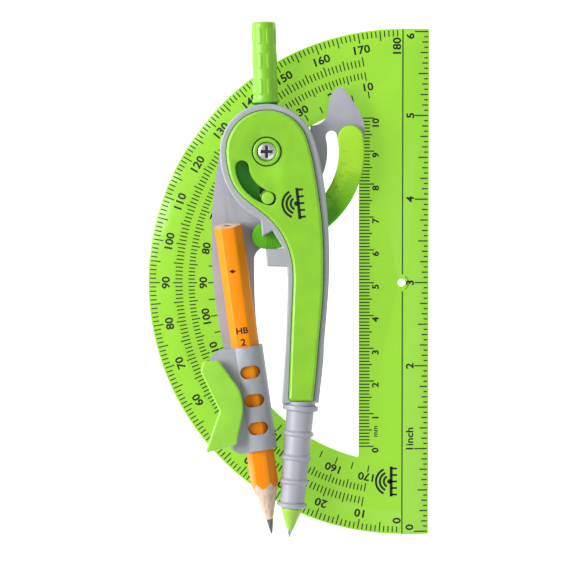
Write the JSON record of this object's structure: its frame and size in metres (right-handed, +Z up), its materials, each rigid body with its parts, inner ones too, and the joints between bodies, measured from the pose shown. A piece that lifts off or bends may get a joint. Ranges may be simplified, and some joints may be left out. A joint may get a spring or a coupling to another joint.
{
  "type": "drafting compass set",
  "caption": "Half-circle protractor lying flat with a self-centring pencil compass on it: two legs on a ribbed handle, a scale arc, and a pencil in a lever-clamped sleeve.",
  "frame": {"origin": "centre of the protractor's centre hole, at its underside", "axes": "+Y along the straight rule towards its 6 inch end, +X out of the straight edge, +Z up from the desk; the set lies flat"},
  "size_m": [0.0854, 0.1562, 0.0168],
  "materials": {
    "clear_green": "clear tinted, glossy",
    "green_plastic": "glossy moulded",
    "grey_plastic": "satin moulded",
    "white_plastic": "smooth",
    "steel": "zinc plated",
    "pencil_wood": "orange lacquer over wood",
    "graphite": "graphite"
  },
  "bodies": {
    "protractor": {"protractor_plate": "clear_green"},
    "handle": {"handle": "green_plastic", "pivot_bush": "green_plastic", "pivot_screw": "steel", "pivot_nut": "steel", "spring_washer": "steel", "friction_washers": "white_plastic"},
    "centring_pin": {"centring_pin": "green_plastic"},
    "needle_leg": {"needle_leg_shell": "grey_plastic", "needle_leg_cover": "green_plastic", "needle_barrel": "grey_plastic", "nose_cone": "green_plastic", "needle_point": "steel"},
    "pencil_leg": {"pencil_leg_frame": "grey_plastic", "scale_arc": "green_plastic", "arc_screws": "steel", "pencil_sleeve": "grey_plastic"},
    "clamp_lever": {"clamp_lever": "green_plastic", "clamp_pin": "steel", "clamp_pin_clip": "steel"},
    "pencil": {"pencil_casing": "pencil_wood", "pencil_lead": "graphite"}
  },
  "joints": [
    {"name": "compass_lift", "type": "slide", "parent": "protractor", "child": "handle", "axis": [0, 0, 1], "range_m": [0, 0.06]},
    {"name": "needle_leg_swing", "type": "hinge", "parent": "handle", "child": "needle_leg", "pos_m": [-0.0409, 0.04, 0.0076], "axis": [0, 0, 1], "range_deg": [0, 42]},
    {"name": "pencil_leg_swing", "type": "hinge", "parent": "handle", "child": "pencil_leg", "pos_m": [-0.0409, 0.04, 0.0076], "axis": [0, 0, 1], "range_deg": [-42.5, 0.5]},
    {"name": "centring_pin_slide", "type": "slide", "parent": "handle", "child": "centring_pin", "axis": [-0.0244, 0.9997, 0], "range_m": [-0.0001, 0.0038]},
    {"name": "clamp_lever_turn", "type": "hinge", "parent": "pencil_leg", "child": "clamp_lever", "pos_m": [-0.0518, -0.0372, 0.0076], "axis": [0, 0, -1], "range_deg": [0, 45]},
    {"name": "pencil_slide", "type": "slide", "parent": "pencil_leg", "child": "pencil", "axis": [0.1392, -0.9903, 0], "range_m": [-0.004, 0]}
  ],
  "couplings": [
    {"joint": "pencil_leg_swing", "follows": "needle_leg_swing", "ratio": -1},
    {"joint": "centring_pin_slide", "follows": "needle_leg_swing", "m_per_rad": 0.00498}
  ]
}
